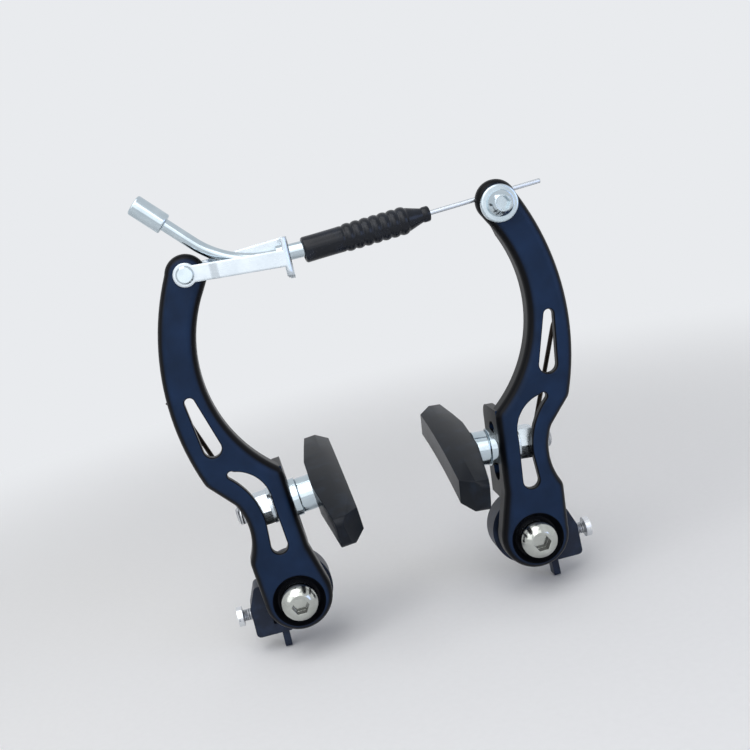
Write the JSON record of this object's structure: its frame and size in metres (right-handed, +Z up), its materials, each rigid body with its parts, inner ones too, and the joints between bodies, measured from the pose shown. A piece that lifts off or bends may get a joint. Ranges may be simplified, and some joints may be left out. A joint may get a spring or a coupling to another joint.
{
  "type": "linear-pull bicycle rim brake",
  "caption": "Black V-brake with curved arms on frame posts, rubber pads, a folded link, a bent noodle, a boot and a cable.",
  "frame": {"origin": "midway between the two post axes, in the plane of the post shoulders that the bushes seat on", "axes": "+X to the viewer's right across the brake, +Y towards the bicycle frame along the posts, +Z up the arms"},
  "size_m": [0.132, 0.0659, 0.1551],
  "materials": {
    "satin_black": "satin",
    "bright_steel": "polished",
    "zinc_steel": "satin",
    "spring_steel": "satin",
    "black_nylon": "matte",
    "pad_rubber": "matte",
    "boot_rubber": "satin"
  },
  "bodies": {
    "posts": {"left_pivot_bush": "zinc_steel", "left_pivot_bolt": "bright_steel", "left_spring_housing": "black_nylon", "right_pivot_bush": "zinc_steel", "right_pivot_bolt": "bright_steel", "right_spring_housing": "black_nylon"},
    "left_lever": {"left_arm": "satin_black", "left_return_spring": "spring_steel", "left_brake_pad": "pad_rubber", "left_pad_stud": "zinc_steel", "left_pad_spacer": "bright_steel", "left_inner_cup_washer": "bright_steel", "left_outer_cup_washer": "zinc_steel", "left_ball_washer": "zinc_steel", "left_flat_washer": "zinc_steel", "left_pad_nut": "zinc_steel", "link_rivet": "bright_steel"},
    "right_lever": {"right_arm": "satin_black", "right_return_spring": "spring_steel", "right_brake_pad": "pad_rubber", "right_pad_stud": "zinc_steel", "right_pad_spacer": "bright_steel", "right_inner_cup_washer": "bright_steel", "right_outer_cup_washer": "zinc_steel", "right_ball_washer": "zinc_steel", "right_flat_washer": "zinc_steel", "right_pad_nut": "zinc_steel", "anchor_bolt": "bright_steel", "anchor_washer": "bright_steel", "cable_clamp": "zinc_steel", "anchor_nut": "zinc_steel"},
    "noodle_holder": {"link": "zinc_steel", "noodle": "bright_steel", "noodle_liner": "black_nylon", "boot": "boot_rubber"},
    "brake_cable": {"cable": "zinc_steel"},
    "left_adjuster": {"left_tension_screw": "zinc_steel"},
    "right_adjuster": {"right_tension_screw": "zinc_steel"}
  },
  "joints": [
    {"name": "left_swing", "type": "hinge", "parent": "posts", "child": "left_lever", "pos_m": [-0.04, -0.0147, 0], "axis": [0, 1, 0], "range_deg": [0, 3.2], "stiffness_Nm_per_rad": 1.5, "springref_deg": -17.19, "deforming": ["left_return_spring"]},
    {"name": "right_swing", "type": "hinge", "parent": "posts", "child": "right_lever", "pos_m": [0.04, -0.0147, 0], "axis": [0, -1, 0], "range_deg": [0, 3.2], "stiffness_Nm_per_rad": 1.5, "springref_deg": -17.19, "deforming": ["right_return_spring"]},
    {"name": "link_turn", "type": "hinge", "parent": "left_lever", "child": "noodle_holder", "pos_m": [-0.0494, -0.0182, 0.1096], "axis": [0, 1, 0], "range_deg": [-3.2, 0]},
    {"name": "cable_turn", "type": "hinge", "parent": "right_lever", "child": "brake_cable", "pos_m": [0.0494, -0.0153, 0.1083], "axis": [0, 1, 0], "range_deg": [0, 3.2]},
    {"name": "left_tension", "type": "slide", "parent": "posts", "child": "left_adjuster", "axis": [-1, 0, 0], "range_m": [0, 0.0025]},
    {"name": "right_tension", "type": "slide", "parent": "posts", "child": "right_adjuster", "axis": [1, 0, 0], "range_m": [0, 0.0025]}
  ],
  "couplings": [
    {"joint": "right_swing", "follows": "left_swing", "ratio": 1},
    {"joint": "link_turn", "follows": "left_swing", "ratio": -1},
    {"joint": "cable_turn", "follows": "left_swing", "ratio": 1}
  ]
}
